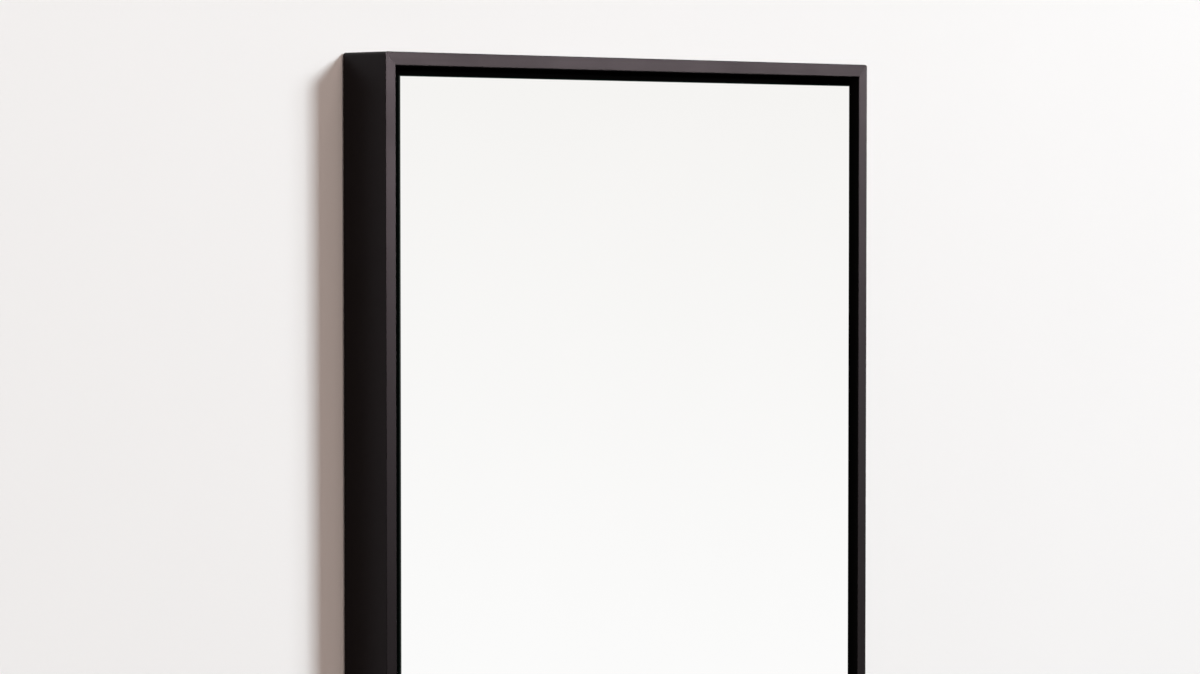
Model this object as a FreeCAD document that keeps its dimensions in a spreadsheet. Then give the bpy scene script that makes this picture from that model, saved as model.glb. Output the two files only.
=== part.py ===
import FreeCAD, Part
import os
import re
import Sketcher

# A rectangular wall mirror. A deep, thin frame of four mitred hollow members stands round a silvered
# glass, with an open shadow gap between them. The glass is bonded to a board on a timber strainer,
# which is screwed to a ledge at the back of the frame. A bar on the strainer hooks over a like bar
# on the wall, so the whole mirror lifts off.
#
# Frame: the wall is the plane Y = 0 and the mirror faces -Y, +X is to the right of a person who
# looks into the glass, +Z is up. The origin is the middle of the wall bar's row of screw holes.

# Driving sizes in millimetres. Depths are measured from the wall, widths from the frame's outside.
SIZES = {
    "frame_width": "610",
    "frame_height": "914",
    "frame_depth": "55",
    "wall_gap": "2",
    "face_width": "11.5",
    "profile_wall": "1.8",
    "edge_radius": "0.5",
    "corner_radius": "3.2",
    "mitre_gap": "0.15",
    "ledge_lap": "15",
    "ledge_thick": "2.5",
    "key_leg": "45",
    "key_clear": "0.15",
    "key_screw_reach": "30",
    "shadow_gap": "8.3",
    "glass_recess": "4.5",
    "glass_thick": "5",
    "glass_arris": "0.8",
    "silver_thick": "0.2",
    "tape_thick": "1",
    "tape_width": "20",
    "mastic_width": "36",
    "board_thick": "9",
    "board_inset": "4",
    "strainer_width": "30",
    "crossbar_width": "40",
    "timber_round": "1.5",
    "cleat_thick": "2.5",
    "cleat_web": "24",
    "cleat_lip": "10",
    "cleat_lead": "1",
    "cleat_relief": "1",
    "cleat_wall_clear": "0.5",
    "cleat_play": "0.5",
    "cleat_margin": "5",
    "cleat_side_clear": "26",
    "cleat_hole_inset": "22",
    "wall_hole": "5.5",
    "wall_sink": "9",
    "bumper_width": "16",
    "bumper_round": "0.8",
    "pan_shank": "4",
    "pan_head": "8",
    "pan_height": "2.4",
    "board_shank": "3.5",
    "board_head": "7",
    "joint_shank": "4",
    "joint_head": "8",
    "corner_shank": "4",
    "corner_length": "14",
    "recess_width": "0.9",
    "screw_clear": "0.1",
    "overrun": "5",
}

# Places along a piece, and parts of a size, as shares of it
STILE_SCREW_SHARES = (-0.36, -0.12, 0.12, 0.36)
RAIL_SCREW_SHARES = (-0.3, 0.0, 0.3)
BOARD_STILE_SHARES = (-0.24, 0.24)
BOARD_RAIL_SHARES = (-0.15, 0.15)
JOINT_SHARES = (-0.25, 0.25)
CLEAT_SCREW_SHARES = (-0.45, -0.15, 0.15, 0.45)
WALL_HOLE_SHARES = (-1.0, -0.375, 0.375, 1.0)
TAPE_SHARES = (-0.42, -0.21, 0.0, 0.21, 0.42)
TAPE_LENGTH_SHARE = 0.9
MASTIC_COLUMN_SHARES = (-0.315, -0.105, 0.105, 0.315)
MASTIC_ROW_SHARES = (-0.3, 0.0, 0.3)
BUMPER_SHARES = (-0.44, 0.44)
DIAGONAL_SHARE = 0.5**0.5
KEY_DEPTH_SHARE = 0.8
FRAME_BITE_SHARE = 0.68
BOARD_BITE_SHARE = 0.5
SINK_DEPTH_SHARE = 0.97
RECESS_REACH_SHARE = 0.3
RECESS_DEPTH_SHARE = 0.6
PAN_ROUND_SHARE = 0.55

# Sizes worked out from the driving ones
WORKED = {
    "front_depth": "wall_gap + frame_depth",
    "glass_edge": "face_width + shadow_gap",
    "glass_width": "frame_width - 2 * glass_edge",
    "glass_height": "frame_height - 2 * glass_edge",
    "glass_front": "front_depth - glass_recess",
    "glass_back": "glass_front - glass_thick",
    "silver_back": "glass_back - silver_thick",
    "tape_back": "silver_back - tape_thick",
    "board_back": "tape_back - board_thick",
    "board_edge": "glass_edge + board_inset",
    "board_width": "frame_width - 2 * board_edge",
    "board_height": "frame_height - 2 * board_edge",
    "cleat_offset": "cleat_wall_clear + cleat_thick + cleat_play",
    "strainer_back": "cleat_wall_clear + cleat_offset + cleat_thick",
    "strainer_depth": "board_back - strainer_back",
    "strainer_inner": "board_edge + strainer_width",
    "strainer_span": "frame_width - 2 * strainer_inner",
    "ledge_back": "strainer_back - ledge_thick",
    "ledge_edge": "board_edge + ledge_lap",
    "ledge_screw": "board_edge + ledge_lap / 2",
    "ledge_middle": "(face_width + ledge_edge) / 2",
    "cleat_length": "strainer_span - 2 * cleat_side_clear",
    "cleat_seat": "cleat_web / 2 + cleat_thick",
    "frame_web_bottom": "cleat_seat + cleat_lip",
    "frame_web_top": "frame_web_bottom + cleat_thick + cleat_web",
    "cleat_screw_height": "frame_web_top - cleat_web / 2",
    "wall_hole_reach": "cleat_length / 2 - cleat_hole_inset",
    "hang_drop": "ledge_edge + cleat_margin + frame_web_top",
    "centre_height": "hang_drop - frame_height / 2",
    "top_member_height": "hang_drop - frame_web_bottom + cleat_margin - board_edge",
    "top_member_middle": "frame_height / 2 - board_edge - top_member_height / 2",
    "bottom_member_middle": "board_edge + strainer_width / 2 - frame_height / 2",
    "crossbar_middle": "(strainer_width - top_member_height) / 2",
    "side_member_middle": "frame_width / 2 - board_edge - strainer_width / 2",
    "strainer_middle_depth": "strainer_back + strainer_depth / 2",
    "key_inset": "profile_wall + key_clear",
    "key_depth": f"{KEY_DEPTH_SHARE} * (frame_depth - 2 * profile_wall)",
    "corner_sink": f"{SINK_DEPTH_SHARE} * profile_wall",
    "corner_head": "corner_shank + 2 * corner_sink",
    "pan_bite": f"{FRAME_BITE_SHARE} * strainer_depth",
    "pan_length": "ledge_thick + pan_bite",
    "board_bite": f"{BOARD_BITE_SHARE} * strainer_depth",
    "board_screw_length": "board_thick + board_bite",
    "joint_length": "2 * strainer_width",
}

ALONG_Y = FreeCAD.Vector(0, 1, 0)
ALONG_X = FreeCAD.Vector(1, 0, 0)
QUARTER_TURN = 90.0
SINK_ANGLE = 90.0

doc = FreeCAD.newDocument("mirror")
sheet = doc.addObject("Spreadsheet::Sheet", "Sizes")
for row, (name, size) in enumerate(SIZES.items(), 1):
    sheet.set(f"A{row}", name)
    sheet.set(f"B{row}", size)
    sheet.setAlias(f"B{row}", name)
doc.recompute()
subparts = []


def cells(text):
    """A formula with each driving size written as its cell and each worked-out size written in full."""

    def written(match):
        name = match.group(0)
        return f"Sizes.{name}" if name in SIZES else f"({cells(WORKED[name])})"

    return re.sub(r"[a-z_]+", written, text)


def number(text):
    """A formula's value in millimetres."""
    return float(sheet.evalExpression(cells(text)))


def vector(x, y, z):
    return FreeCAD.Vector(number(x), number(y), number(z))


def new_body(label, height="centre_height", turn=0.0):
    """A body whose own origin lies on the wall plane at a height, turned about Y."""
    body = doc.addObject("PartDesign::Body", label)
    body.Label = label
    body.Placement = FreeCAD.Placement(FreeCAD.Vector(), FreeCAD.Rotation(ALONG_Y, turn))
    body.setExpression("Placement.Base.z", cells(height))
    return body


def sketch_on(body, role, offset="0"):
    """A sketch on one of a body's origin planes, moved off it along the plane's normal."""
    plane = next(feature for feature in body.Origin.OriginFeatures if feature.Role == role)
    sketch = body.newObject("Sketcher::SketchObject", "Sketch")
    sketch.AttachmentSupport = [(plane, "")]
    sketch.MapMode = "FlatFace"
    sketch.setExpression("AttachmentOffset.Base.z", cells(offset))
    return sketch


def bind(sketch, constraint, formula):
    index = sketch.addConstraint(constraint)
    sketch.setExpression(f"Constraints[{index}]", cells(formula))


def pin(sketch, geometry, point, place):
    """Hold a sketch point at a place that follows the sheet."""
    for kind, formula in zip(("DistanceX", "DistanceY"), place):
        bind(sketch, Sketcher.Constraint(kind, -1, 1, geometry, point, number(formula)), formula)


def outline(sketch, places):
    """A closed outline of straight sides through places that follow the sheet."""
    corners = [vector(x, y, "0") for x, y in places]
    first = sketch.GeometryCount
    for start, end in zip(corners, corners[1:] + corners[:1]):
        sketch.addGeometry(Part.LineSegment(start, end))
    for index, place in enumerate(places):
        before = first + (index - 1) % len(places)
        sketch.addConstraint(Sketcher.Constraint("Coincident", before, 2, first + index, 1))
        pin(sketch, first + index, 1, place)


def rectangle(sketch, middle, width, height):
    x, y = middle
    outline(
        sketch,
        [
            (f"{x} - {width} / 2", f"{y} - {height} / 2"),
            (f"{x} + {width} / 2", f"{y} - {height} / 2"),
            (f"{x} + {width} / 2", f"{y} + {height} / 2"),
            (f"{x} - {width} / 2", f"{y} + {height} / 2"),
        ],
    )


def circle(sketch, place, diameter):
    x, y = place
    index = sketch.addGeometry(
        Part.Circle(vector(x, y, "0"), FreeCAD.Vector(0, 0, 1), number(diameter) / 2)
    )
    bind(sketch, Sketcher.Constraint("Diameter", index, number(diameter)), diameter)
    pin(sketch, index, 3, place)


def outside_corner(sketch, side, corner, radius):
    """The sliver outside a rounded corner, with its arc; side is 1 at the right end and -1 at the left."""
    x, y = corner
    inner_x = f"{x} - {side} * {radius}"
    outer_x = f"{x} + {side} * overrun"
    places = [
        (x, f"{y} - {radius}"),
        (outer_x, f"{y} - {radius}"),
        (outer_x, f"{y} + overrun"),
        (inner_x, f"{y} + overrun"),
        (inner_x, y),
    ]
    corners = [vector(px, py, "0") for px, py in places]
    first = sketch.GeometryCount
    for start, end in zip(corners, corners[1:]):
        sketch.addGeometry(Part.LineSegment(start, end))
    centre = vector(inner_x, f"{y} - {radius}", "0")
    diagonal = FreeCAD.Vector(side, 1, 0).normalize() * number(radius)
    arc = sketch.addGeometry(Part.Arc(corners[0], centre + diagonal, corners[-1]))
    # Part.Arc runs anticlockwise, so its first end is the one on the right
    foot, crown = (1, 2) if side > 0 else (2, 1)
    for index in range(len(places) - 2):
        sketch.addConstraint(Sketcher.Constraint("Coincident", first + index, 2, first + index + 1, 1))
    sketch.addConstraint(Sketcher.Constraint("Coincident", arc, foot, first, 1))
    sketch.addConstraint(Sketcher.Constraint("Coincident", arc, crown, arc - 1, 2))
    for index, place in enumerate(places[:-1]):
        pin(sketch, first + index, 1, place)
    pin(sketch, arc - 1, 2, places[-1])
    bind(sketch, Sketcher.Constraint("Radius", arc, number(radius)), radius)


def pad(body, sketch, length, both_ways=False):
    feature = body.newObject("PartDesign::Pad", "Pad")
    feature.Profile = sketch
    feature.SideType = "Symmetric" if both_ways else "One side"
    feature.setExpression("Length", cells(length))
    doc.recompute()
    return feature


def checked_cut(body, before):
    doc.recompute()
    if body.Shape.Volume >= before:
        raise RuntimeError(f"a cut in {body.Label} takes nothing away")


def cut_through(body, sketch):
    """Cut a sketch's shape right through a body, both ways from the sketch."""
    before = body.Shape.Volume
    feature = body.newObject("PartDesign::Pocket", "Pocket")
    feature.Profile = sketch
    feature.Type = "ThroughAll"
    feature.SideType = "Symmetric"
    checked_cut(body, before)


def cut_to(body, sketch, depth, along_normal=False):
    """Cut a sketch's shape to a depth, against the sketch's normal unless told otherwise."""
    before = body.Shape.Volume
    feature = body.newObject("PartDesign::Pocket", "Pocket")
    feature.Profile = sketch
    feature.Reversed = along_normal
    feature.setExpression("Length", cells(depth))
    checked_cut(body, before)


def countersink(body, sketch, shank, head, depth, room="screw_clear", along_normal=False):
    """Countersunk holes to a depth, with some room round a screw's shank and its flush head."""
    before = body.Shape.Volume
    feature = body.newObject("PartDesign::Hole", "Hole")
    feature.Profile = sketch
    doc.recompute()
    feature.ThreadType = "None"
    feature.DepthType = "Dimension"
    feature.DrillPoint = "Flat"
    feature.Reversed = along_normal
    feature.HoleCutType = "Countersink"
    feature.HoleCutCustomValues = True
    feature.HoleCutCountersinkAngle = SINK_ANGLE
    feature.setExpression("Diameter", cells(f"{shank} + 2 * {room}"))
    feature.setExpression("HoleCutDiameter", cells(f"{head} + 2 * {room}"))
    feature.setExpression("Depth", cells(depth))
    checked_cut(body, before)


def edge_names(shape, wanted):
    return [f"Edge{index}" for index, edge in enumerate(shape.Edges, 1) if wanted(edge)]


def ease(body, kind, base, names, size_name, size):
    """Round or bevel named edges of a body's last feature."""
    feature = body.newObject(kind, "Ease")
    feature.Base = (base, names)
    feature.setExpression(size_name, cells(size))
    doc.recompute()


def flat_panel(label, front, back, width, height):
    """A rectangular sheet between two depths from the wall."""
    body = new_body(label)
    sketch = sketch_on(body, "XZ_Plane", back)
    rectangle(sketch, ("0", "0"), width, height)
    panel = pad(body, sketch, f"{front} - {back}")
    return body, panel


def frame_member(label, turn, length, half_height, screw_shares):
    """One mitred member, drawn as the top one: a hollow box with a ledge at its back."""
    body = new_body(label, turn=turn)
    section = sketch_on(body, "YZ_Plane")
    member_section(section, half_height)
    bar = pad(body, section, length, both_ways=True)
    names = edge_names(bar.Shape, lambda edge: on_outer_corner(edge, length, half_height))
    ease(body, "PartDesign::Fillet", bar, names, "Radius", "edge_radius")
    cut_mitres(body, length, half_height)
    ledge_holes = sketch_on(body, "XZ_Plane")
    for share in screw_shares:
        place = (f"{share} * {length}", f"{half_height} - ledge_screw")
        circle(ledge_holes, place, "pan_shank + 2 * screw_clear")
    cut_through(body, ledge_holes)
    key_holes = sketch_on(body, "XZ_Plane", "wall_gap")
    for side in (-1, 1):
        place = (f"{side} * ({length} / 2 - key_screw_reach)", f"{half_height} - face_width / 2")
        circle(key_holes, place, "corner_shank")
    countersink(body, key_holes, "corner_shank", "corner_head", "key_inset", along_normal=True)
    subparts.append(body)


def member_section(sketch, half_height):
    """The box with its ledge, and the box's hollow."""
    inside = f"{half_height} - face_width"
    lip = f"{half_height} - ledge_edge"
    outline(
        sketch,
        [
            ("-front_depth", half_height),
            ("-front_depth", inside),
            ("-strainer_back", inside),
            ("-strainer_back", lip),
            ("-ledge_back", lip),
            ("-ledge_back", inside),
            ("-wall_gap", inside),
            ("-wall_gap", half_height),
        ],
    )
    rectangle(
        sketch,
        ("-(wall_gap + frame_depth / 2)", f"{half_height} - face_width / 2"),
        "(frame_depth - 2 * profile_wall)",
        "(face_width - 2 * profile_wall)",
    )


def on_outer_corner(edge, length, half_height):
    """Whether an edge runs along the box's front corners or its outer back one."""
    corners = [
        vector("0", "-front_depth", half_height),
        vector("0", "-front_depth", f"{half_height} - face_width"),
        vector("0", "-wall_gap", half_height),
    ]
    along = edge.BoundBox.XLength > number(length) / 2
    near = Part.Precision.confusion()
    return along and any(edge.CenterOfMass.isEqual(corner, near) for corner in corners)


def cut_mitres(body, length, half_height):
    """Both ends at 45 degrees, half the mitre's hairline gap short, with the outside corner rounded."""
    mitres = sketch_on(body, "XZ_Plane")
    low = f"{half_height} - ledge_edge - overrun"
    high = f"{half_height} + overrun"
    for side in (-1, 1):
        end = f"{length} / 2 - {DIAGONAL_SHARE} * mitre_gap"
        outline(
            mitres,
            [
                (f"{side} * ({end} - ledge_edge - overrun)", low),
                (f"{side} * ({length} / 2 + overrun)", low),
                (f"{side} * ({length} / 2 + overrun)", high),
                (f"{side} * ({end} + overrun)", high),
            ],
        )
    cut_through(body, mitres)
    corners = sketch_on(body, "XZ_Plane")
    for side in (-1, 1):
        outside_corner(corners, side, (f"{side} * {length} / 2", half_height), "corner_radius")
    cut_through(body, corners)


def corner_key(label, turn, side_x, side_z):
    """An angle that fills the hollow of two members, drawn at the top right corner."""
    body = new_body(label, f"centre_height + {side_z} * frame_height / 2", turn)
    body.setExpression("Placement.Base.x", cells(f"{side_x} * frame_width / 2"))
    back = "wall_gap + key_inset"
    far = "-(key_inset + key_leg)"
    inner = "-(face_width - key_inset)"
    angle = sketch_on(body, "XZ_Plane", back)
    outline(
        angle,
        [
            ("-key_inset", "-key_inset"),
            ("-key_inset", far),
            (inner, far),
            (inner, inner),
            (far, inner),
            (far, "-key_inset"),
        ],
    )
    pad(body, angle, "key_depth")
    holes = sketch_on(body, "XZ_Plane", back)
    for place in (("-face_width / 2", "-key_screw_reach"), ("-key_screw_reach", "-face_width / 2")):
        circle(holes, place, "corner_shank + 2 * screw_clear")
    cut_to(body, holes, "corner_length", along_normal=True)
    subparts.append(body)


def mirror_glass():
    """The pane, with a small bevel round its front and back edges."""
    body, pane = flat_panel("mirror_glass", "glass_front", "glass_back", "glass_width", "glass_height")
    thickness = number("glass_thick")

    def round_a_face(edge):
        return edge.BoundBox.YLength < thickness / 2

    names = edge_names(pane.Shape, round_a_face)
    ease(body, "PartDesign::Chamfer", pane, names, "Size", "glass_arris")
    subparts.append(body)


def silver_layer():
    """The silvering and its protective paint, on the flat of the pane's back."""
    width = "(glass_width - 2 * glass_arris)"
    height = "(glass_height - 2 * glass_arris)"
    body, _ = flat_panel("silver_layer", "glass_back", "silver_back", width, height)
    subparts.append(body)


def mirror_tape():
    """Strips of foam tape from top to bottom."""
    body = new_body("mirror_tape")
    strips = sketch_on(body, "XZ_Plane", "tape_back")
    for share in TAPE_SHARES:
        length = f"{TAPE_LENGTH_SHARE} * board_height"
        rectangle(strips, (f"{share} * board_width", "0"), "tape_width", length)
    pad(body, strips, "tape_thick")
    subparts.append(body)


def mirror_mastic():
    """Dabs of mastic between the strips."""
    body = new_body("mirror_mastic")
    dabs = sketch_on(body, "XZ_Plane", "tape_back")
    for column in MASTIC_COLUMN_SHARES:
        for row in MASTIC_ROW_SHARES:
            circle(dabs, (f"{column} * board_width", f"{row} * board_height"), "mastic_width")
    pad(body, dabs, "tape_thick")
    subparts.append(body)


def board_screw_places():
    """Where the board is screwed to the strainer, as places on the frame's middle plane."""
    sides = [
        (f"{side} * side_member_middle", f"{share} * frame_height")
        for side in (-1, 1)
        for share in BOARD_STILE_SHARES
    ]
    levels = [
        (f"{share} * frame_width", level)
        for level in ("top_member_middle", "crossbar_middle", "bottom_member_middle")
        for share in BOARD_RAIL_SHARES
    ]
    return sides, levels


def backing_board():
    """The board that the glass is bonded to, countersunk from its front."""
    body, _ = flat_panel("backing_board", "tape_back", "board_back", "board_width", "board_height")
    holes = sketch_on(body, "XZ_Plane", "tape_back")
    sides, levels = board_screw_places()
    for place in sides + levels:
        circle(holes, place, "board_shank")
    countersink(body, holes, "board_shank", "board_head", "board_thick + overrun")
    subparts.append(body)


def ledge_screw_places():
    """Where the ledge is screwed to the strainer: on the rails, then on the stiles."""
    rails = [
        (f"{share} * frame_width", f"{side} * (frame_height / 2 - ledge_screw)")
        for side in (-1, 1)
        for share in RAIL_SCREW_SHARES
    ]
    stiles = [
        (f"{side} * (frame_width / 2 - ledge_screw)", f"{share} * frame_height")
        for side in (-1, 1)
        for share in STILE_SCREW_SHARES
    ]
    return rails, stiles


def cleat_screw_places():
    """Where the hanging bar is screwed to the strainer's top member."""
    height = "cleat_screw_height - centre_height"
    return [(f"{share} * cleat_length", height) for share in CLEAT_SCREW_SHARES]


def strainer_members():
    """The strainer's level members with their middles and widths."""
    return {
        "strainer_top": ("top_member_middle", "top_member_height"),
        "strainer_crossbar": ("crossbar_middle", "crossbar_width"),
        "strainer_bottom": ("bottom_member_middle", "strainer_width"),
    }


def timber(body, middle, width, height):
    """A member of the strainer's depth with its long edges eased, about a middle on the frame's plane."""
    sketch = sketch_on(body, "XZ_Plane", "strainer_back")
    rectangle(sketch, middle, width, height)
    block = pad(body, sketch, "strainer_depth")
    longest = max(number(width), number(height))
    names = edge_names(block.Shape, lambda edge: edge.Length > longest / 2)
    ease(body, "PartDesign::Fillet", block, names, "Radius", "timber_round")


def pilot_holes(body, places, shank, depth, from_front=False):
    """Holes for screws, from a member's back or from its front."""
    sketch = sketch_on(body, "XZ_Plane", "board_back" if from_front else "strainer_back")
    for place in places:
        circle(sketch, place, f"{shank} + 2 * screw_clear")
    cut_to(body, sketch, depth, along_normal=not from_front)


def joint_places():
    """Heights of the screws that join the level members to the upright ones."""
    return [
        f"{middle} + {share} * {width}"
        for middle, width in strainer_members().values()
        for share in JOINT_SHARES
    ]


def level_member(label, middle, width):
    """A level strainer member between the upright ones, bored at its ends for the joint screws."""
    body = new_body(label)
    timber(body, ("0", middle), "strainer_span", width)
    for side in (-1, 1):
        bores = sketch_on(body, "YZ_Plane", f"{side} * strainer_span / 2")
        for share in JOINT_SHARES:
            circle(
                bores,
                ("-strainer_middle_depth", f"{middle} + {share} * {width}"),
                "joint_shank + 2 * screw_clear",
            )
        cut_to(body, bores, "joint_length - strainer_width", along_normal=side < 0)
    fronts = [(f"{share} * frame_width", middle) for share in BOARD_RAIL_SHARES]
    pilot_holes(body, fronts, "board_shank", "board_bite", from_front=True)
    subparts.append(body)
    return body


def strainer_level():
    """The level members, with holes for the ledge's screws and the hanging bar's."""
    rails, _ = ledge_screw_places()
    half = len(rails) // 2
    for label, (middle, width) in strainer_members().items():
        body = level_member(label, middle, width)
        if label == "strainer_bottom":
            pilot_holes(body, rails[:half], "pan_shank", "pan_bite")
        if label == "strainer_top":
            pilot_holes(body, rails[half:], "pan_shank", "pan_bite")
            pilot_holes(body, cleat_screw_places(), "pan_shank", "pan_length - cleat_thick")


def strainer_upright(label, side):
    """An upright strainer member, as tall as the board, countersunk on its outside for the joint screws."""
    body = new_body(label)
    timber(body, (f"{side} * side_member_middle", "0"), "strainer_width", "board_height")
    joints = sketch_on(body, "YZ_Plane", f"{side} * board_width / 2")
    for height in joint_places():
        circle(joints, ("-strainer_middle_depth", height), "joint_shank")
    depth = "strainer_width + overrun"
    countersink(body, joints, "joint_shank", "joint_head", depth, along_normal=side < 0)
    _, stiles = ledge_screw_places()
    sides, _ = board_screw_places()
    backs = [place for place in stiles if place[0].startswith(f"{side} ")]
    fronts = [place for place in sides if place[0].startswith(f"{side} ")]
    pilot_holes(body, backs, "pan_shank", "pan_bite")
    pilot_holes(body, fronts, "board_shank", "board_bite", from_front=True)
    subparts.append(body)


def cleat_section(body, way, depth, seat, relief):
    """The hooked bar's section: a flat web, a step and a lip; way is 1 with the lip upwards.

    depth is the web's back, as a depth from the wall, and seat the height where the web meets the step.
    """
    section = sketch_on(body, "YZ_Plane")
    far = f"{depth} + {way} * (cleat_offset + cleat_thick)"
    near = f"{depth} + {way} * cleat_offset"
    face = f"{depth} + {way} * cleat_thick"
    tip = f"{seat} + {way} * (cleat_thick + cleat_lip - {relief})"
    outline(
        section,
        [
            (f"-({depth})", f"{seat} - {way} * cleat_web"),
            (f"-({depth})", f"{seat} + {way} * cleat_thick"),
            (f"-({near})", f"{seat} + {way} * cleat_thick"),
            (f"-({near})", f"{tip} - {way} * cleat_lead"),
            (f"-({near} + {way} * cleat_lead)", tip),
            (f"-({far})", tip),
            (f"-({far})", seat),
            (f"-({face})", seat),
            (f"-({face})", f"{seat} - {way} * cleat_web"),
        ],
    )
    pad(body, section, "cleat_length", both_ways=True)


def wall_cleat():
    """The bar on the wall, lip upwards, countersunk for wall screws."""
    body = new_body("wall_cleat", "0")
    cleat_section(body, 1, "0", "cleat_web / 2", "cleat_relief")
    holes = sketch_on(body, "XZ_Plane", "cleat_thick")
    for share in WALL_HOLE_SHARES:
        circle(holes, (f"{share} * wall_hole_reach", "0"), "wall_hole")
    countersink(body, holes, "wall_hole", "wall_sink", "cleat_thick + overrun", room="0")
    subparts.append(body)


def frame_cleat():
    """The same bar on the mirror, lip downwards, hooked behind the wall bar's lip to rest on its step."""
    body = new_body("frame_cleat", "0")
    cleat_section(body, -1, "strainer_back", "frame_web_bottom + cleat_thick", "0")
    holes = sketch_on(body, "XZ_Plane", "strainer_back")
    for share in CLEAT_SCREW_SHARES:
        circle(holes, (f"{share} * cleat_length", "cleat_screw_height"), "pan_shank + 2 * screw_clear")
    cut_to(body, holes, "cleat_thick")
    subparts.append(body)


def screw(label, shank, head, length, height=None):
    """A pointed screw along Z with a cross recess, its head's seat or flush top at Z = 0.

    With a height it has a pan head above Z = 0, and otherwise a countersunk head below it.
    """
    body = doc.addObject("PartDesign::Body", label)
    top = height or "0"
    sink = "0" if height else f"-({head} - {shank}) / 2"
    section = sketch_on(body, "XZ_Plane")
    rim = [(f"{head} / 2", top)] + ([(f"{head} / 2", "0")] if height else [])
    outline(
        section,
        [("0", top)]
        + rim
        + [(f"{shank} / 2", sink), (f"{shank} / 2", f"{shank} - {length}"), ("0", f"-{length}")],
    )
    turned = body.newObject("PartDesign::Revolution", "Revolution")
    turned.Profile = section
    turned.ReferenceAxis = (section, ["V_Axis"])
    doc.recompute()
    if height:
        names = edge_names(turned.Shape, lambda edge: edge.BoundBox.ZMin > number(height) / 2)
        ease(body, "PartDesign::Fillet", turned, names, "Radius", f"{PAN_ROUND_SHARE} * {height}")
    reach = f"{RECESS_REACH_SHARE} * {head}"
    half = "recess_width / 2"
    recess = sketch_on(body, "XY_Plane", top)
    arm = [(reach, f"-{half}"), (reach, half), (half, half)]
    quarters = [(1, 0), (0, 1), (-1, 0), (0, -1)]
    outline(recess, [turned_place(place, quarter) for quarter in quarters for place in arm])
    deep = height or f"(({head} - {shank}) / 2)"
    cut_to(body, recess, f"{RECESS_DEPTH_SHARE} * {deep}")
    return body


def turned_place(place, quarter):
    """A place turned about the origin, where quarter is the direction that +X turns to."""
    x, y = place
    cosine, sine = quarter
    return (f"{cosine} * ({x}) - {sine} * ({y})", f"{sine} * ({x}) + {cosine} * ({y})")


def group(label, base, places):
    """Copies of one solid as one sub-part; each place is a position and a rotation."""
    copies = []
    for position, rotation in places:
        copy = base.Shape.copy()
        copy.Placement = FreeCAD.Placement(position, rotation)
        copies.append(copy)
    feature = doc.addObject("Part::Feature", label)
    feature.Label = label
    feature.Shape = Part.makeCompound(copies)
    feature.Placement = FreeCAD.Placement()
    subparts.append(feature)


def from_back(place, depth):
    """A screw driven forwards from a depth, at a place on the frame's middle plane."""
    x, z = place
    return vector(x, f"-{depth}", f"centre_height + {z}"), FreeCAD.Rotation(ALONG_X, -QUARTER_TURN)


def fasteners():
    """Every group of screws, each made from one screw."""
    pan_screw = screw("pan_screw", "pan_shank", "pan_head", "pan_length", "pan_height")
    board_screw = screw("board_screw", "board_shank", "board_head", "board_screw_length")
    joint_screw = screw("joint_screw", "joint_shank", "joint_head", "joint_length")
    corner_screw = screw("corner_screw", "corner_shank", "corner_head", "corner_length")
    rails, stiles = ledge_screw_places()
    group("frame_screws", pan_screw, [from_back(place, "ledge_back") for place in rails + stiles])
    webs = [from_back(place, "(strainer_back - cleat_thick)") for place in cleat_screw_places()]
    group("cleat_screws", pan_screw, webs)
    near, far = "face_width / 2", "key_screw_reach"
    keys = [
        (f"{side_x} * (frame_width / 2 - {reach_x})", f"{side_z} * (frame_height / 2 - {reach_z})")
        for side_x in (-1, 1)
        for side_z in (-1, 1)
        for reach_x, reach_z in ((near, far), (far, near))
    ]
    group("corner_screws", corner_screw, [from_back(place, "wall_gap") for place in keys])
    sides, levels = board_screw_places()
    forwards = FreeCAD.Rotation(ALONG_X, QUARTER_TURN)
    fronts = [(vector(x, "-tape_back", f"centre_height + {z}"), forwards) for x, z in sides + levels]
    group("board_screws", board_screw, fronts)
    joints = [
        (
            vector(f"{side} * board_width / 2", "-strainer_middle_depth", f"centre_height + {height}"),
            FreeCAD.Rotation(ALONG_Y, side * QUARTER_TURN),
        )
        for side in (-1, 1)
        for height in joint_places()
    ]
    group("strainer_screws", joint_screw, joints)


def bumpers():
    """Rubber pads on the stiles' ledges that bear on the wall."""
    pad_body = doc.addObject("PartDesign::Body", "bumper")
    disc = sketch_on(pad_body, "XY_Plane")
    circle(disc, ("0", "0"), "bumper_width")
    cushion = pad(pad_body, disc, "ledge_back")
    names = edge_names(cushion.Shape, lambda edge: edge.BoundBox.ZMin > number("ledge_back") / 2)
    ease(pad_body, "PartDesign::Fillet", cushion, names, "Radius", "bumper_round")
    places = [
        (f"{side} * (frame_width / 2 - ledge_middle)", f"{share} * frame_height")
        for side in (-1, 1)
        for share in BUMPER_SHARES
    ]
    group("bumpers", pad_body, [from_back(place, "ledge_back") for place in places])


def write_parts():
    """Write each sub-part to its own file once the whole document is sound."""
    doc.recompute()
    for thing in doc.Objects:
        if {"Invalid", "Error"} & set(thing.State):
            raise RuntimeError(f"{thing.Label} failed: {thing.State}")
    for part in subparts:
        if part.Shape.isNull() or not part.Shape.isValid():
            raise RuntimeError(f"{part.Label} has no valid shape")
    os.makedirs("parts", exist_ok=True)
    for part in subparts:
        part.Shape.exportStep(f"parts/{part.Label}.step")


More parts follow.
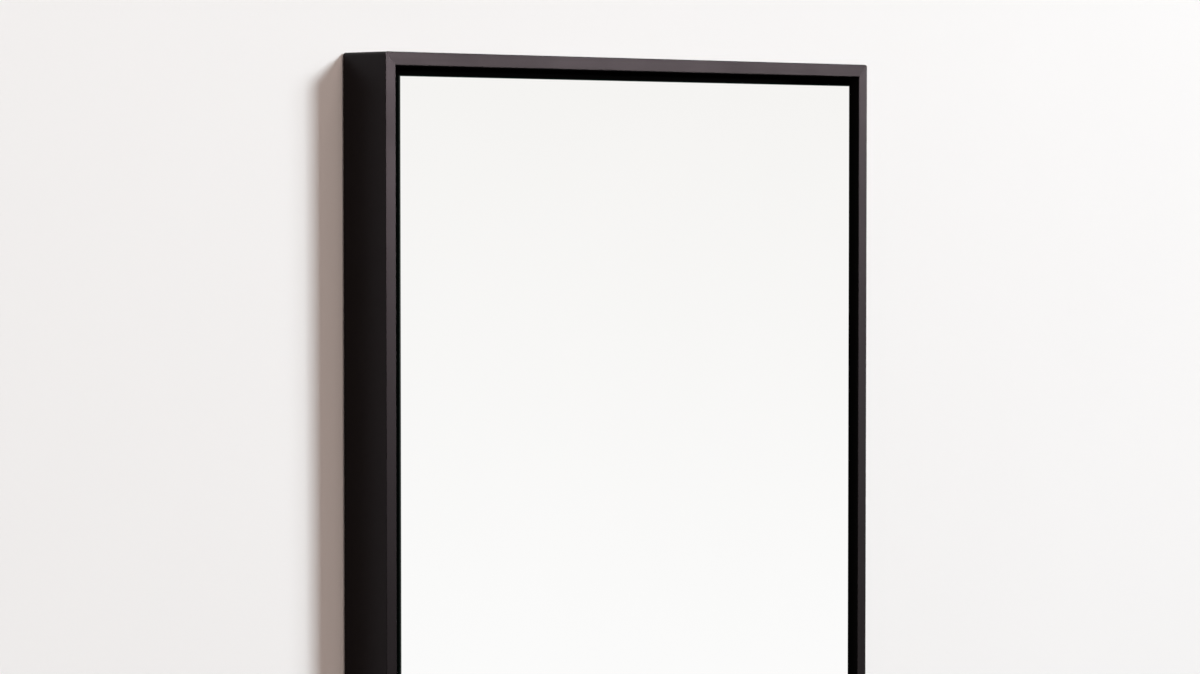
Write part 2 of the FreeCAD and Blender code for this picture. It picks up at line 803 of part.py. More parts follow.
frame_member("top_rail", 0.0, "frame_width", "frame_height / 2", RAIL_SCREW_SHARES)
frame_member("right_stile", QUARTER_TURN, "frame_height", "frame_width / 2", STILE_SCREW_SHARES)
frame_member("bottom_rail", 2 * QUARTER_TURN, "frame_width", "frame_height / 2", RAIL_SCREW_SHARES)
frame_member("left_stile", -QUARTER_TURN, "frame_height", "frame_width / 2", STILE_SCREW_SHARES)
corner_key("corner_key_top_right", 0.0, 1, 1)
corner_key("corner_key_bottom_right", QUARTER_TURN, 1, -1)
corner_key("corner_key_bottom_left", 2 * QUARTER_TURN, -1, -1)
corner_key("corner_key_top_left", -QUARTER_TURN, -1, 1)
mirror_glass()
silver_layer()
mirror_tape()
mirror_mastic()
backing_board()
strainer_level()
strainer_upright("strainer_left", -1)
strainer_upright("strainer_right", 1)
wall_cleat()
frame_cleat()
fasteners()
bumpers()
write_parts()
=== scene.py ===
"""The rectangular wall mirror, dressed: a finish for every part, the wall it hangs on, light and a camera."""

import math

import bpy
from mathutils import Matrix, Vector


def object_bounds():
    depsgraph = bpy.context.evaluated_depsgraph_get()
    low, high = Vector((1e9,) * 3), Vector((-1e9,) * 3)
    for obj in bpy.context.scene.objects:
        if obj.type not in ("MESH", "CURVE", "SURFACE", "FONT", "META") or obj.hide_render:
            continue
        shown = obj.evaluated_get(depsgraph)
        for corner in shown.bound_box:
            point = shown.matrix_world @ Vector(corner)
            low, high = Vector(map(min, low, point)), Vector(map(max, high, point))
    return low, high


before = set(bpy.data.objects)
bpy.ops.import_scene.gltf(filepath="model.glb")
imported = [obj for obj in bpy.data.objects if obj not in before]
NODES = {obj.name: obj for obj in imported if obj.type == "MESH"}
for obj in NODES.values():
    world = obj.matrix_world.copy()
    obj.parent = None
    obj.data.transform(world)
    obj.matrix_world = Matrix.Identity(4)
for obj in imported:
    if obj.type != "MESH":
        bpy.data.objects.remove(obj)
CAD_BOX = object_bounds()

MM = 0.001
X, Z = 0, 2

# The camera, fitted to the frame's edges in the photograph.
CAMERA_PLACE = Vector((-2.5613, -2.6186, -0.0090))
CAMERA_YAW = math.radians(44.42)
CAMERA_PITCH = math.radians(-2.32)
CAMERA_LENS_MM = 120.68
CAMERA_REACH = 100.0
SENSOR_MM = 36.0

# The stage: a floor, and a wall at y = 0 with a hole whose edges lie this far inside the mirror's outline.
WALL_HALF_WIDTH = 6.0
WALL_TOP = 2.3
FLOOR_HEIGHT = -1.86
FLOOR_HALF_SIDE = 6.0
HIDDEN_EDGE = 6 * MM
HIDDEN_BOTTOM = 20 * MM

# The frame's faces: the front's width, the slack for faces that bound the opening, how far back the front's
# rounded edge reaches, and how squarely a face looks back, or up or down, to count as such.
FACE_WIDTH = 11.5 * MM
FACE_NEAR = 0.3 * MM
FRONT_ROUND = 1 * MM
FACES_BACK = 0.5
FACES_UP = 0.9

# How squarely the pane's reflecting face looks forwards.
FACES_FRONT = 0.99

# The black paint on the edges of the board and the strainer: its reach, and how squarely its faces look out.
EDGE_PAINT = 1.6 * MM
FACES_OUT = 0.2

# The strainer's members, and which way the grain of each one runs.
STICKS = {
    "strainer_top": "x",
    "strainer_bottom": "x",
    "strainer_crossbar": "x",
    "strainer_left": "z",
    "strainer_right": "z",
}

# Where most values of a noise texture lie.
NOISE_SPAN = (0.3, 0.7)

# A rounded normal against the face's own: an edge is worn below the first cosine and unworn above the second.
EDGE_COSINES = (0.75, 0.995)
EDGE_SAMPLES = 4

# Finishes in linear RGB. Two colours are the dark and the light end of one finish.
COAT = (0.0006, 0.0005, 0.0005), (0.0012, 0.0010, 0.0010)
COAT_WORN = (0.012, 0.0105, 0.0105)
COAT_SHEEN = (1.0, 0.80, 0.88, 1.0)
LINING = (0.0022, 0.0020, 0.0020), (0.0048, 0.0044, 0.0043)
SILVER = (0.930, 0.945, 0.938), (0.938, 0.952, 0.946)
GLASS_EDGE = (0.004, 0.012, 0.010), (0.010, 0.026, 0.022)
GLASS_IOR = 1.52
BACKING = (0.16, 0.20, 0.185), (0.21, 0.25, 0.23)
FOAM = (0.62, 0.62, 0.60), (0.82, 0.82, 0.80)
MASTIC = (0.60, 0.56, 0.47), (0.70, 0.66, 0.57)
BOARD_DARK, BOARD_MIDDLE, BOARD_LIGHT = (0.285, 0.185, 0.105), (0.37, 0.25, 0.15), (0.46, 0.325, 0.21)
BOARD_FLECK = (0.13, 0.075, 0.04)
BOARD_TONE = 0.42, 0.58
PINE_EARLY, PINE_MIDDLE, PINE_LATE = (0.63, 0.45, 0.255), (0.60, 0.415, 0.225), (0.46, 0.275, 0.125)
PINE_PORE = (0.26, 0.145, 0.062)
PINE_ARRIS = (0.70, 0.54, 0.35)
PINE_TONE = 0.40, 0.60
PINE_SHIFT = (0.37, 0.19, 0.53)
ZINC = (0.60, 0.61, 0.62), (0.74, 0.75, 0.77)
BLACK_OXIDE = (0.03, 0.03, 0.032), (0.055, 0.055, 0.058)
PLATE_WORN = 1.25
BAR = (0.56, 0.565, 0.57), (0.70, 0.705, 0.71)
BAR_WORN = (0.86, 0.865, 0.87)
KEY = (0.42, 0.42, 0.43), (0.55, 0.55, 0.56)
RUBBER = (0.012, 0.012, 0.012), (0.045, 0.044, 0.042)
WALL = (0.858, 0.845, 0.844), (0.875, 0.862, 0.862)
FLOOR = (0.345, 0.341, 0.334), (0.375, 0.372, 0.366)

# Lights stand round this point, by azimuth to the right of the wall's normal and elevation, in degrees.
LIT_POINT = Vector((-0.305, -0.03, 0.05))
COOL_LIGHT = (0.885, 0.975, 1.01)
NEUTRAL_LIGHT = (1.0, 0.96, 0.97)
WARM_LIGHT = (1.0, 0.81, 0.72)
BACK_LIGHT = (1.0, 0.98, 0.95)

# The room that shiny surfaces show. Its two colours at each place go with the two heights, where a height is
# the upward part of a unit direction. The screen and the dim zone are whole within the first of their two
# sizes and gone past the second: parts of a unit direction to each side, or degrees from the screen's middle.
SCREEN_AZIMUTH, SCREEN_ELEVATION = 44.75, -2.85
SCREEN_HALF_WIDTH = (0.063, 0.075)
SCREEN_HALF_HEIGHT = (0.083, 0.096)
SCREEN_HEIGHTS = (0.03, -0.125)
SCREEN_COLOURS = (0.975, 0.949, 0.938), (1.036, 1.019, 1.021)
DIM_DEGREES = (25, 50)
DIM_HEIGHTS = (-0.35, 0.25)
DIM_COLOURS = (0.36, 0.35, 0.34), (0.62, 0.60, 0.58)
BRIGHT_HEIGHTS = (-0.3, 0.8)
BRIGHT_COLOURS = (0.76, 0.745, 0.725), (0.86, 0.845, 0.825)
BEHIND_HEIGHTS = (-0.6, 0.8)
BEHIND_COLOURS = (0.60, 0.59, 0.57), (0.95, 0.95, 0.95)
# The cosines between which a direction comes to face the screen, and not the place opposite to it.
SCREEN_FACING = (0.5, 0.9)
# The parts into the wall between which the room gives way to what lies behind it.
WALL_CROSSING = (-0.02, 0.10)


def direction(azimuth, elevation):
    """The unit vector from the mirror towards a place in the room."""
    a, e = math.radians(azimuth), math.radians(elevation)
    return Vector((math.sin(a) * math.cos(e), -math.cos(a) * math.cos(e), math.sin(e)))


def drawn(along, lengthwise, crosswise):
    """Scales along x, y and z for a texture that is drawn out along one of them."""
    return tuple(lengthwise if axis == along else crosswise for axis in "xyz")


class Nodes:
    """A node tree, and short calls that add nodes to it."""

    def __init__(self, owner):
        owner.use_nodes = True
        self.tree = owner.node_tree
        self.tree.nodes.clear()

    def add(self, kind, inputs=None, **settings):
        """A new node with its settings, and its inputs set to numbers or linked to sockets."""
        made = self.tree.nodes.new(kind)
        for key, value in settings.items():
            setattr(made, key, value)
        for key, value in (inputs or {}).items():
            self.give(made.inputs[key], value)
        return made

    def give(self, socket, value):
        """Links an input to a socket, or sets it to a number, a vector or a colour."""
        if isinstance(value, bpy.types.NodeSocket):
            self.link(value, socket)
        else:
            socket.default_value = value

    def link(self, source, target):
        self.tree.links.new(source, target)

    def spread(self, value, low=0.0, high=1.0, span=NOISE_SPAN, steps="LINEAR"):
        """A value mapped from a span to low..high, held at the ends."""
        start, end = span
        made = self.add(
            "ShaderNodeMapRange",
            {"Value": value, "From Min": start, "From Max": end, "To Min": low, "To Max": high},
            interpolation_type=steps,
        )
        return made.outputs["Result"]

    def calc(self, operation, first, second=0.0):
        return self.add("ShaderNodeMath", {0: first, 1: second}, operation=operation).outputs["Value"]

    def dot(self, first, second):
        made = self.add("ShaderNodeVectorMath", {0: first, 1: second}, operation="DOT_PRODUCT")
        return made.outputs["Value"]

    def mix(self, factor, first, second, blend="MIX"):
        """Two colours mixed by a factor; each is a socket or three numbers."""
        made = self.add("ShaderNodeMix", data_type="RGBA", blend_type=blend)
        named = {"Factor_Float": factor, "A_Color": first, "B_Color": second}
        for socket in made.inputs:
            if socket.identifier in named:
                value = named[socket.identifier]
                self.give(socket, (*value, 1.0) if isinstance(value, tuple) else value)
        return next(s for s in made.outputs if s.identifier == "Result_Color")


class Shader(Nodes):
    """A material's node tree round a Principled shader, whose constants are given by name."""

    def __init__(self, name, **constants):
        self.material = bpy.data.materials.new(name)
        super().__init__(self.material)
        self.out = self.add("ShaderNodeOutputMaterial")
        self.surface = self.add("ShaderNodeBsdfPrincipled")
        self.link(self.surface.outputs["BSDF"], self.out.inputs["Surface"])
        for socket, value in constants.items():
            self.surface.inputs[socket.replace("_", " ")].default_value = value
        self.place = self.add("ShaderNodeTexCoord").outputs["Object"]

    def feed(self, socket, source):
        """Links a socket of the Principled shader."""
        self.link(source, self.surface.inputs[socket])

    def stretched(self, scale, shift=(0, 0, 0)):
        """The place on the part, in metres, scaled along each axis and shifted."""
        mapped = self.add("ShaderNodeMapping", {"Vector": self.place, "Location": shift, "Scale": scale})
        return mapped.outputs["Vector"]

    def noise(self, per_metre=1.0, place=None, detail=4.0, roughness=0.55):
        made = self.add(
            "ShaderNodeTexNoise",
            {"Vector": place or self.place, "Scale": per_metre, "Detail": detail, "Roughness": roughness},
        )
        return made.outputs["Fac"]

    def cells(self, per_metre):
        made = self.add("ShaderNodeTexVoronoi", {"Vector": self.place, "Scale": per_metre})
        return made.outputs["Distance"]

    def ramp(self, value, *stops):
        """A colour ramp; each stop is a place from 0 to 1, and a colour of three numbers or a grey of one."""
        made = self.add("ShaderNodeValToRGB", {"Fac": value})
        elements = made.color_ramp.elements
        while len(elements) < len(stops):
            elements.new(0.5)
        for element, (place, colour) in zip(elements, stops):
            element.position = place
            rgb = colour if isinstance(colour, tuple) else (colour,) * 3
            element.color = (*rgb, 1.0)
        return made.outputs["Color"]

    def shades(self, value, colours, span=NOISE_SPAN):
        """The two colours of a finish over a span of a value."""
        return self.ramp(value, *zip(span, colours))

    def bump(self, height, depth, under=None):
        """Raises the surface by height times depth, in metres, over an earlier bump."""
        made = self.add("ShaderNodeBump", {"Height": height, "Distance": depth, "Strength": 1.0})
        if under is not None:
            self.link(under, made.inputs["Normal"])
        return made.outputs["Normal"]

    def edges(self, radius):
        """0 on flat faces, up to 1 on the part's outer edges, within a radius of them in metres."""
        rounded = self.add("ShaderNodeBevel", {"Radius": radius}, samples=EDGE_SAMPLES).outputs["Normal"]
        flat = self.add("ShaderNodeNewGeometry").outputs["True Normal"]
        return self.spread(self.dot(rounded, flat), 1.0, 0.0, EDGE_COSINES)

    def rubbed(self, colour, worn, bare, share):
        """A colour that goes a share of the way to a bare one where the edges are worn."""
        return self.mix(self.calc("MULTIPLY", worn, share), colour, bare)

    def toned(self, colour, value, greys, share):
        """A colour that two greys darken and lighten as a value goes, by a share."""
        return self.mix(share, colour, self.shades(value, greys), "OVERLAY")


def frame_coat(name, along, roughness):
    """Satin dark bronze coating on extruded metal: orange peel, faint lines along the bar, worn edges."""
    s = Shader(name, Specular_IOR_Level=0.12, Specular_Tint=COAT_SHEEN)
    lines = s.noise(place=s.stretched(drawn(along, lengthwise=3.0, crosswise=900.0)), detail=3.0)
    cloud = s.noise(per_metre=14.0, detail=5.0, roughness=0.6)
    peel = s.noise(per_metre=1700.0, detail=2.0)
    worn = s.edges(radius=0.7 * MM)
    s.feed("Base Color", s.rubbed(s.shades(cloud, COAT), worn, COAT_WORN, share=0.45))
    clouded = s.spread(cloud, roughness - 0.02, roughness + 0.02)
    lined = s.calc("ADD", clouded, s.spread(lines, -0.015, 0.015))
    s.feed("Roughness", s.calc("SUBTRACT", lined, s.spread(worn, 0.0, 0.05, span=(0.0, 1.0))))
    s.feed("Normal", s.bump(lines, depth=0.002 * MM, under=s.bump(peel, depth=0.004 * MM)))
    return s.material


def matt_lining():
    """Matt black paint on the faces of the frame's opening, with a dusty grain."""
    s = Shader("matt_lining", Specular_IOR_Level=0.06)
    grain = s.noise(per_metre=900.0, roughness=0.65)
    s.feed("Base Color", s.shades(grain, LINING, span=(0.3, 0.75)))
    s.feed("Roughness", s.spread(grain, 0.82, 0.94))
    s.feed("Normal", s.bump(grain, depth=0.02 * MM))
    return s.material


def mirror_face():
    """Silvered glass seen from the front: a clean reflection, very slightly green, with a breath of haze."""
    s = Shader("mirror_face", Metallic=1.0)
    haze = s.noise(per_metre=5.0, detail=6.0, roughness=0.6)
    s.feed("Base Color", s.shades(haze, SILVER))
    s.feed("Roughness", s.spread(haze, 0.003, 0.012))
    return s.material


def glass_edge():
    """The seamed edge of the pane: deep green, with the fine scratches of the belt along it."""
    s = Shader("glass_edge", IOR=GLASS_IOR, Specular_IOR_Level=0.5)
    scratches = s.noise(place=s.stretched((400, 4000, 400)), detail=3.0)
    s.feed("Base Color", s.shades(scratches, GLASS_EDGE, span=(0.3, 0.75)))
    s.feed("Roughness", s.spread(scratches, 0.12, 0.3))
    s.feed("Normal", s.bump(scratches, depth=0.01 * MM))
    return s.material


def backing_paint():
    """The grey-green protective paint on the back of the silvering."""
    s = Shader("backing_paint", Specular_IOR_Level=0.4)
    flow = s.noise(per_metre=30.0, place=s.stretched((1, 1, 0.25)), detail=5.0)
    s.feed("Base Color", s.shades(flow, BACKING))
    s.feed("Roughness", s.spread(flow, 0.42, 0.58))
    s.feed("Normal", s.bump(s.noise(per_metre=900.0), depth=0.01 * MM))
    return s.material


def foam():
    """White closed-cell foam tape."""
    s = Shader("foam_tape", Specular_IOR_Level=0.3)
    cells = s.cells(per_metre=2600.0)
    s.feed("Base Color", s.shades(cells, FOAM, span=(0.1, 0.7)))
    s.feed("Roughness", s.spread(cells, 0.95, 0.75))
    s.feed("Normal", s.bump(cells, depth=0.05 * MM))
    return s.material


def mirror_mastic():
    """Cream mirror adhesive, smooth and slightly rubbery."""
    s = Shader("mastic", Specular_IOR_Level=0.4)
    lumps = s.noise(per_metre=220.0)
    s.feed("Base Color", s.shades(lumps, MASTIC))
    s.feed("Roughness", s.spread(lumps, 0.45, 0.65))
    s.feed("Normal", s.bump(lumps, depth=0.15 * MM))
    return s.material


def fibreboard():
    """Medium-density fibreboard: pressed fibres, dark flecks, and faint sanding marks up the sheet."""
    s = Shader("fibreboard", Specular_IOR_Level=0.3)
    fibres = s.noise(place=s.stretched((900, 900, 340)), detail=5.0, roughness=0.7)
    cloud = s.noise(per_metre=9.0, detail=6.0, roughness=0.65)
    flecks = s.cells(per_metre=420.0)
    sanding = s.noise(place=s.stretched((1500, 1500, 6)), detail=2.0)
    base = s.ramp(fibres, (0.25, BOARD_DARK), (0.5, BOARD_MIDDLE), (0.8, BOARD_LIGHT))
    toned = s.toned(base, cloud, BOARD_TONE, share=0.55)
    s.feed("Base Color", s.mix(s.spread(flecks, 0.35, 0.0, span=(0.02, 0.16)), toned, BOARD_FLECK))
    s.feed("Roughness", s.calc("ADD", s.spread(fibres, 0.72, 0.88), s.spread(sanding, -0.05, 0.05)))
    s.feed("Normal", s.bump(sanding, depth=0.02 * MM, under=s.bump(fibres, depth=0.05 * MM)))
    return s.material


def timber(name, along, seed):
    """Planed pine: growth rings cut along the stick, fine dark pores, and paler arrises."""
    s = Shader(name, Specular_IOR_Level=0.35)
    shift = tuple(seed * step for step in PINE_SHIFT)
    place = s.stretched(drawn(along, lengthwise=0.045, crosswise=1.0), shift)
    sway = s.noise(per_metre=9.0, place=place, detail=3.0)
    rings = s.add(
        "ShaderNodeTexWave",
        {"Vector": place, "Scale": 46.0, "Distortion": 5.5, "Detail": 3.0, "Detail Scale": 1.4},
        wave_type="RINGS",
        rings_direction=along.upper(),
        wave_profile="SAW",
    ).outputs["Fac"]
    pores = s.noise(per_metre=2600.0, place=place, detail=3.0, roughness=0.7)
    grain = s.ramp(rings, (0.0, PINE_EARLY), (0.62, PINE_MIDDLE), (0.93, PINE_LATE), (1.0, PINE_EARLY))
    washed = s.toned(grain, sway, PINE_TONE, share=0.45)
    pored = s.mix(s.spread(pores, 0.0, 0.45, span=(0.54, 0.72)), washed, PINE_PORE)
    s.feed("Base Color", s.rubbed(pored, s.edges(radius=1.2 * MM), PINE_ARRIS, share=0.25))
    s.feed("Roughness", s.spread(s.calc("ADD", rings, pores), 0.58, 0.74, span=(0.5, 1.4)))
    s.feed("Normal", s.bump(pores, depth=0.05 * MM, under=s.bump(rings, depth=0.04 * MM)))
    return s.material


def plated(name, colours, roughness):
    """Plated steel: streaky passivation, tumbling marks, and brighter edges where a driver has touched it."""
    s = Shader(name, Metallic=1.0)
    streaks = s.noise(per_metre=260.0, detail=5.0, roughness=0.65)
    marks = s.cells(per_metre=1900.0)
    _, light = colours
    brighter = tuple(min(1.0, PLATE_WORN * channel) for channel in light)
    worn = s.edges(radius=0.35 * MM)
    s.feed("Base Color", s.rubbed(s.shades(streaks, colours), worn, brighter, share=0.6))
    streaked = s.spread(streaks, roughness, roughness + 0.14)
    s.feed("Roughness", s.calc("ADD", streaked, s.spread(marks, 0.05, -0.05)))
    s.feed("Normal", s.bump(marks, depth=0.01 * MM))
    return s.material


def extruded_bar():
    """Mill-finish extruded aluminium: long die lines, dull oxide patches, bright sawn edges."""
    s = Shader("bar_metal", Metallic=1.0)
    lines = s.noise(place=s.stretched(drawn("x", lengthwise=1.5, crosswise=2200.0)), roughness=0.7)
    patches = s.stretched(drawn("x", lengthwise=0.4, crosswise=1.0))
    oxide = s.noise(per_metre=24.0, place=patches, detail=6.0, roughness=0.65)
    worn = s.edges(radius=0.5 * MM)
    s.feed("Base Color", s.rubbed(s.shades(oxide, BAR), worn, BAR_WORN, share=0.6))
    s.feed("Roughness", s.calc("ADD", s.spread(oxide, 0.40, 0.28), s.spread(lines, -0.08, 0.08)))
    s.feed("Normal", s.bump(lines, depth=0.012 * MM))
    return s.material


def cast_key():
    """Die-cast corner key: a matt skin with small pits."""
    s = Shader("key_metal", Metallic=1.0)
    skin = s.noise(per_metre=700.0, detail=5.0, roughness=0.7)
    s.feed("Base Color", s.shades(skin, KEY))
    s.feed("Roughness", s.spread(skin, 0.42, 0.6))
    s.feed("Normal", s.bump(skin, depth=0.03 * MM))
    return s.material


def bumper_rubber():
    """Soft black rubber with a moulded grain and a little dust."""
    s = Shader("bumper_rubber", Specular_IOR_Level=0.4)
    grain = s.noise(per_metre=1800.0, detail=3.0)
    dust = s.noise(per_metre=90.0, detail=6.0, roughness=0.7)
    s.feed("Base Color", s.shades(dust, RUBBER, span=(0.35, 0.8)))
    s.feed("Roughness", s.spread(dust, 0.6, 0.85))
    s.feed("Normal", s.bump(grain, depth=0.03 * MM))
    return s.material


def one_sided(s):
    """Lets the eye through from behind, so that a view from there shows the mirror, not the room's shell."""
    behind = s.add("ShaderNodeNewGeometry").outputs["Backfacing"]
    clear = s.add("ShaderNodeBsdfTransparent").outputs["BSDF"]
    mixed = s.add("ShaderNodeMixShader", {"Fac": behind, 1: s.surface.outputs["BSDF"], 2: clear})
    s.link(mixed.outputs["Shader"], s.out.inputs["Surface"])
    return s.material


def wall_paint():
    """White emulsion laid on with a roller."""
    s = Shader("wall_paint", Specular_IOR_Level=0.2)
    roller = s.noise(per_metre=320.0, detail=3.0)
    s.feed("Base Color", s.shades(s.noise(per_metre=1.3), WALL))
    s.feed("Roughness", s.spread(roller, 0.7, 0.85))
    s.feed("Normal", s.bump(roller, depth=0.06 * MM))
    return one_sided(s)


def floor_paint():
    """Pale matt studio floor."""
    s = Shader("floor_paint", Specular_IOR_Level=0.25)
    cloud = s.noise(per_metre=2.2, detail=6.0, roughness=0.6)
    fine = s.noise(per_metre=260.0, detail=3.0)
    s.feed("Base Color", s.shades(cloud, FLOOR))
    s.feed("Roughness", s.spread(fine, 0.55, 0.75))
    s.feed("Normal", s.bump(fine, depth=0.05 * MM))
    return one_sided(s)


def give_materials(name, *materials):
    """Gives a CAD node its materials in this order, and returns its mesh."""
    mesh = NODES[name].data
    mesh.materials.clear()
    for material in materials:
        mesh.materials.append(material)
    return mesh


def dress(material, *names):
    """Gives CAD nodes one material."""
    for name in names:
        give_materials(name, material)


def dress_frame_member(name, coat, lining, dull_coat):
    """One member of the frame: coated, lined inside the opening, and duller on its top and bottom faces."""
    coated, lined, dulled = range(3)
    low, high = CAD_BOX
    middle, half = (low + high) / 2, (high - low) / 2
    across = Z if name.endswith("rail") else X
    for face in give_materials(name, coat, lining, dull_coat).polygons:
        in_opening = abs(face.center[across] - middle[across]) < half[across] - FACE_WIDTH + FACE_NEAR
        if in_opening:
            behind_front = face.center.y > low.y + FRONT_ROUND
            face.material_index = lined if behind_front and face.normal.y < FACES_BACK else coated
        else:
            face.material_index = dulled if abs(face.normal.z) > FACES_UP else coated


def paint_outside(lining, *names):
    """Black paint on the outer edges of the board and the strainer, which face the shadow gap."""
    board = NODES["backing_board"]
    corners = [board.matrix_world @ Vector(corner) for corner in board.bound_box]
    half_x = max(corner.x for corner in corners)
    low_z, high_z = min(corner.z for corner in corners), max(corner.z for corner in corners)
    for name in names:
        mesh = NODES[name].data
        painted = len(mesh.materials)
        mesh.materials.append(lining)
        for face in mesh.polygons:
            place, normal = face.center, face.normal
            looks_out = normal.x * place.x > 0 and abs(normal.x) > FACES_OUT
            at_side = looks_out and abs(place.x) - half_x > -EDGE_PAINT
            at_top = normal.z > FACES_OUT and place.z - high_z > -EDGE_PAINT
            at_bottom = normal.z < -FACES_OUT and low_z - place.z > -EDGE_PAINT
            if at_side or at_top or at_bottom:
                face.material_index = painted


def dress_pane():
    """The pane's front face reflects; its arris, edges and back show glass."""
    reflecting, plain = range(2)
    for face in give_materials("mirror_glass", mirror_face(), glass_edge()).polygons:
        face.material_index = reflecting if face.normal.y < -FACES_FRONT else plain


def dress_parts():
    """A finish for each of the part's nodes."""
    lining = matt_lining()
    dull_coat = frame_coat("frame_coat_dull", "x", roughness=0.6)
    level_coat = frame_coat("frame_coat_level", "x", roughness=0.34)
    upright_coat = frame_coat("frame_coat_upright", "z", roughness=0.315)
    for name in ("top_rail", "bottom_rail"):
        dress_frame_member(name, level_coat, lining, dull_coat)
    for name in ("left_stile", "right_stile"):
        dress_frame_member(name, upright_coat, lining, dull_coat)
    dress_pane()
    dress(backing_paint(), "silver_layer")
    dress(foam(), "mirror_tape")
    dress(mirror_mastic(), "mirror_mastic")
    dress(fibreboard(), "backing_board")
    for seed, (name, along) in enumerate(STICKS.items(), start=1):
        dress(timber("pine_" + name, along, seed), name)
    paint_outside(lining, "backing_board", *STICKS)
    zinc = plated("zinc_screw", ZINC, roughness=0.24)
    dress(zinc, "board_screws", "strainer_screws", "frame_screws", "cleat_screws")
    dress(plated("black_screw", BLACK_OXIDE, roughness=0.38), "corner_screws")
    dress(extruded_bar(), "frame_cleat", "wall_cleat")
    keys = [f"corner_key_{level}_{side}" for level in ("top", "bottom") for side in ("left", "right")]
    dress(cast_key(), *keys)
    dress(bumper_rubber(), "bumpers")


def put_in_scene(name, data):
    made = bpy.data.objects.new(name, data)
    bpy.context.scene.collection.objects.link(made)
    return made


def stage_mesh(name, points, faces, material):
    mesh = bpy.data.meshes.new(name)
    mesh.from_pydata(points, [], faces)
    mesh.materials.append(material)
    made = put_in_scene(name, mesh)
    return made


def build_wall():
    """The wall at y = 0, open where the mirror hides it, so that light reaches the mirror's back."""
    low, high = CAD_BOX
    w = WALL_HALF_WIDTH
    outer = [(-w, FLOOR_HEIGHT), (w, FLOOR_HEIGHT), (w, WALL_TOP), (-w, WALL_TOP)]
    left, right = low.x + HIDDEN_EDGE, high.x - HIDDEN_EDGE
    bottom, top = low.z + HIDDEN_BOTTOM, high.z - HIDDEN_EDGE
    inner = [(left, bottom), (right, bottom), (right, top), (left, top)]
    points = [(x, 0.0, z) for x, z in outer + inner]
    faces = [(i, (i + 1) % 4, 4 + (i + 1) % 4, 4 + i) for i in range(4)]
    stage_mesh("wall", points, faces, wall_paint())


def build_floor():
    """A floor that the eye sees, but that neither lights the mirror nor shows in it."""
    f = FLOOR_HALF_SIDE
    points = [(x, y, FLOOR_HEIGHT) for x, y in ((-f, -f), (f, -f), (f, f), (-f, f))]
    floor = stage_mesh("floor", points, [(0, 1, 2, 3)], floor_paint())
    floor.visible_diffuse = False
    floor.visible_glossy = False


def area_light(name, azimuth, elevation, distance, size, radiance, colour, seen=False, lights=True):
    """A soft panel that faces the mirror: its size in metres, the radiance that a reflection of it shows,
    whether shiny surfaces show it, and whether it lights matt ones."""
    lamp = bpy.data.lights.new(name, "AREA")
    lamp.shape = "RECTANGLE"
    lamp.size, lamp.size_y = size
    lamp.color = colour
    lamp.energy = radiance * math.pi * size[0] * size[1]
    made = put_in_scene(name, lamp)
    away = direction(azimuth, elevation)
    made.location = LIT_POINT + away * distance
    made.rotation_euler = away.to_track_quat("Z", "Y").to_euler()
    made.visible_camera = False
    made.visible_glossy = seen
    made.visible_diffuse = lights


def build_lights():
    """A cool key with a dimmer wing to the right, warm fills from the front and above, and a panel behind the
    wall for the back. The low strip only draws the highlight that runs down the frame's front."""
    area_light(
        "key_panel", azimuth=30.0, elevation=21.0, distance=16.0,
        size=(3.52, 3.52), radiance=46.6, colour=COOL_LIGHT,
    )
    area_light(
        "key_wing", azimuth=40.0, elevation=20.5, distance=8.5,
        size=(1.9, 1.8), radiance=15.4, colour=COOL_LIGHT,
    )
    area_light(
        "low_strip", azimuth=42.8, elevation=2.69, distance=10.0,
        size=(2.60, 0.10), radiance=385.0, colour=NEUTRAL_LIGHT, seen=True, lights=False,
    )
    area_light(
        "front_fill", azimuth=-18.0, elevation=28.0, distance=15.0,
        size=(13.75, 10.0), radiance=1.95, colour=WARM_LIGHT,
    )
    area_light(
        "top_fill", azimuth=-12.0, elevation=62.0, distance=16.0,
        size=(14.7, 10.7), radiance=1.70, colour=WARM_LIGHT,
    )
    area_light(
        "back_panel", azimuth=180.0, elevation=20.0, distance=4.0,
        size=(4.0, 4.0), radiance=3.8, colour=BACK_LIGHT,
    )


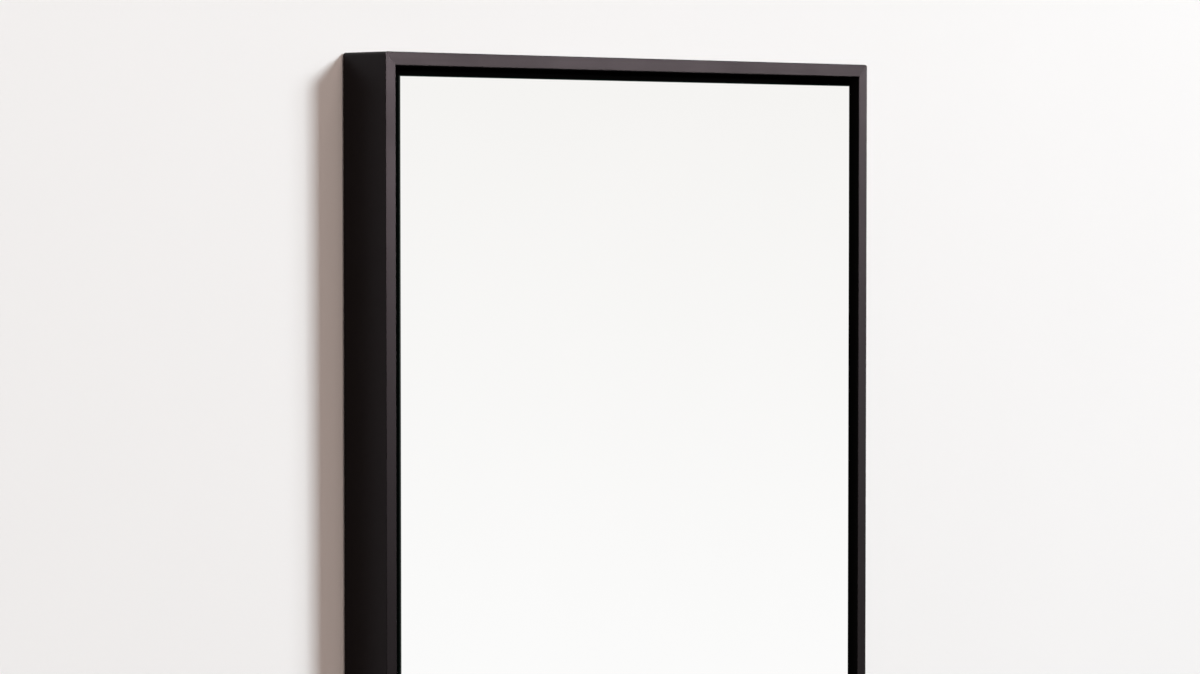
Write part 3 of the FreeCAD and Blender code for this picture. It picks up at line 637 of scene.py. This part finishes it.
def build_world():
    """What shiny surfaces show: a white screen that the photograph's mirror faces, a dim zone round it, a
    bright room beyond, and a bright space behind the wall. It lights no matt surface."""
    world = bpy.data.worlds.new("room")
    bpy.context.scene.world = world
    world.cycles_visibility.diffuse = False
    s = Nodes(world)
    towards = s.add("ShaderNodeTexCoord").outputs["Generated"]
    parts = s.add("ShaderNodeSeparateXYZ", {"Vector": towards}).outputs
    screen = direction(SCREEN_AZIMUTH, SCREEN_ELEVATION)
    sideways = Vector((-screen.y, screen.x, 0)).normalized()
    upwards = screen.cross(sideways)

    def rise(value, start, end):
        return s.spread(value, span=(start, end), steps="SMOOTHSTEP")

    def within(axis, whole, gone):
        return rise(s.calc("ABSOLUTE", s.dot(towards, axis)), gone, whole)

    def graded(heights, colours):
        return s.mix(rise(parts["Z"], *heights), *colours)

    facing = s.dot(towards, screen)
    whole, gone = (math.cos(math.radians(angle)) for angle in DIM_DEGREES)
    dim_share = rise(facing, gone, whole)
    patch = s.calc("MULTIPLY", within(sideways, *SCREEN_HALF_WIDTH), within(upwards, *SCREEN_HALF_HEIGHT))
    screen_share = s.calc("MULTIPLY", patch, rise(facing, *SCREEN_FACING))
    bright, dim = graded(BRIGHT_HEIGHTS, BRIGHT_COLOURS), graded(DIM_HEIGHTS, DIM_COLOURS)
    room = s.mix(dim_share, bright, dim)
    sides = s.mix(rise(parts["Y"], *WALL_CROSSING), room, graded(BEHIND_HEIGHTS, BEHIND_COLOURS))
    lit_screen = s.mix(s.spread(parts["Z"], span=SCREEN_HEIGHTS), *SCREEN_COLOURS)
    background = s.add("ShaderNodeBackground", {"Color": s.mix(screen_share, sides, lit_screen)})
    s.add("ShaderNodeOutputWorld", {"Surface": background.outputs["Background"]})


def build_camera():
    """The photograph's view, equally sharp at every depth."""
    lens = bpy.data.cameras.new("camera")
    lens.lens = CAMERA_LENS_MM
    lens.sensor_width = SENSOR_MM
    lens.sensor_fit = "HORIZONTAL"
    lens.clip_end = CAMERA_REACH
    made = put_in_scene("camera", lens)
    level = math.cos(CAMERA_PITCH)
    ahead = Vector((math.sin(CAMERA_YAW) * level, math.cos(CAMERA_YAW) * level, math.sin(CAMERA_PITCH)))
    made.location = CAMERA_PLACE
    made.rotation_euler = ahead.to_track_quat("-Z", "Y").to_euler()
    bpy.context.scene.camera = made


bpy.context.scene.view_settings.view_transform = "Standard"
dress_parts()
build_wall()
build_floor()
build_lights()
build_world()
build_camera()
